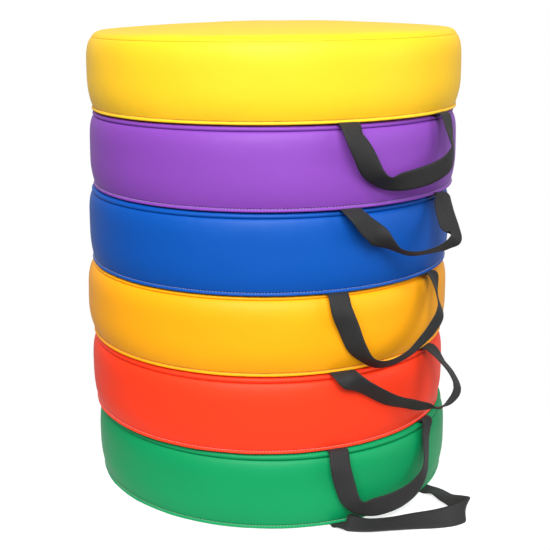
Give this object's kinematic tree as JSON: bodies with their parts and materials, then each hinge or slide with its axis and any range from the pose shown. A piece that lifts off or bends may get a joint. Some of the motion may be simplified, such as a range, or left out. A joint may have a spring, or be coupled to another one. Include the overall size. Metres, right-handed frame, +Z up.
{
  "type": "stack of round floor pads",
  "caption": "Stack of thick round vinyl-covered foam floor pads, each with a black webbing carry handle sewn into its lower seam; the pads lift off one another.",
  "frame": {"origin": "centre of the lowest pad's underside, on the floor", "axes": "+Z up the stack; +X towards the side where the handles are; +Y across the handles"},
  "size_m": [0.4398, 0.3855, 0.4693],
  "materials": {
    "green_vinyl": "satin vinyl-coated fabric, very fine grain",
    "red_vinyl": "satin vinyl-coated fabric, very fine grain",
    "orange_vinyl": "satin vinyl-coated fabric, very fine grain",
    "blue_vinyl": "satin vinyl-coated fabric, very fine grain",
    "purple_vinyl": "satin vinyl-coated fabric, very fine grain",
    "yellow_vinyl": "satin vinyl-coated fabric, very fine grain",
    "foam": "open-cell polyurethane foam",
    "webbing": "matte black polypropylene webbing, fine ribbed weave"
  },
  "bodies": {
    "green_pad": {"green_top_panel": "green_vinyl", "green_side_band": "green_vinyl", "green_bottom_panel": "green_vinyl", "green_foam_core": "foam", "green_handle_sewn_end_left": "webbing", "green_handle_sewn_end_right": "webbing"},
    "green_handle": {"green_handle_loop": "webbing"},
    "red_pad": {"red_top_panel": "red_vinyl", "red_side_band": "red_vinyl", "red_bottom_panel": "red_vinyl", "red_foam_core": "foam", "red_handle_sewn_end_left": "webbing", "red_handle_sewn_end_right": "webbing"},
    "red_handle": {"red_handle_loop": "webbing"},
    "orange_pad": {"orange_top_panel": "orange_vinyl", "orange_side_band": "orange_vinyl", "orange_bottom_panel": "orange_vinyl", "orange_foam_core": "foam", "orange_handle_sewn_end_left": "webbing", "orange_handle_sewn_end_right": "webbing"},
    "orange_handle": {"orange_handle_loop": "webbing"},
    "blue_pad": {"blue_top_panel": "blue_vinyl", "blue_side_band": "blue_vinyl", "blue_bottom_panel": "blue_vinyl", "blue_foam_core": "foam", "blue_handle_sewn_end_left": "webbing", "blue_handle_sewn_end_right": "webbing"},
    "blue_handle": {"blue_handle_loop": "webbing"},
    "purple_pad": {"purple_top_panel": "purple_vinyl", "purple_side_band": "purple_vinyl", "purple_bottom_panel": "purple_vinyl", "purple_foam_core": "foam", "purple_handle_sewn_end_left": "webbing", "purple_handle_sewn_end_right": "webbing"},
    "purple_handle": {"purple_handle_loop": "webbing"},
    "yellow_pad": {"yellow_top_panel": "yellow_vinyl", "yellow_side_band": "yellow_vinyl", "yellow_bottom_panel": "yellow_vinyl", "yellow_foam_core": "foam", "yellow_handle_sewn_end_left": "webbing", "yellow_handle_sewn_end_right": "webbing"},
    "yellow_handle": {"yellow_handle_loop": "webbing"}
  },
  "joints": [
    {"name": "green_handle_swing", "type": "hinge", "parent": "green_pad", "child": "green_handle", "pos_m": [0.18065, 0.00095, 0.00225], "axis": [0.0052, -1, 0], "range_deg": [0, 5]},
    {"name": "red_pad_lift", "type": "slide", "parent": "green_pad", "child": "red_pad", "axis": [0, 0, 1], "range_m": [0, 0.08]},
    {"name": "red_handle_swing", "type": "hinge", "parent": "red_pad", "child": "red_handle", "pos_m": [0.17775, -0.00202, 0.07945], "axis": [0.0087, -1, 0], "range_deg": [0, 80]},
    {"name": "orange_pad_lift", "type": "slide", "parent": "red_pad", "child": "orange_pad", "axis": [0, 0, 1], "range_m": [0, 0.08]},
    {"name": "orange_handle_swing", "type": "hinge", "parent": "orange_pad", "child": "orange_handle", "pos_m": [0.17763, -0.00055, 0.15665], "axis": [0.0174, -0.9998, 0], "range_deg": [0, 45]},
    {"name": "blue_pad_lift", "type": "slide", "parent": "orange_pad", "child": "blue_pad", "axis": [0, 0, 1], "range_m": [0, 0.08]},
    {"name": "blue_handle_swing", "type": "hinge", "parent": "blue_pad", "child": "blue_handle", "pos_m": [0.17883, -0.00504, 0.23385], "axis": [-0.0157, -0.9999, 0], "range_deg": [0, 80]},
    {"name": "purple_pad_lift", "type": "slide", "parent": "blue_pad", "child": "purple_pad", "axis": [0, 0, 1], "range_m": [0, 0.08]},
    {"name": "purple_handle_swing", "type": "hinge", "parent": "purple_pad", "child": "purple_handle", "pos_m": [0.18129, 0.00563, 0.31105], "axis": [0.0262, -0.9997, 0], "range_deg": [0, 80]},
    {"name": "yellow_pad_lift", "type": "slide", "parent": "purple_pad", "child": "yellow_pad", "axis": [0, 0, 1], "range_m": [0, 0.08]},
    {"name": "yellow_handle_swing", "type": "hinge", "parent": "yellow_pad", "child": "yellow_handle", "pos_m": [0.18206, 0.00148, 0.38825], "axis": [-0.0017, -1, 0], "range_deg": [0, 80]}
  ]
}
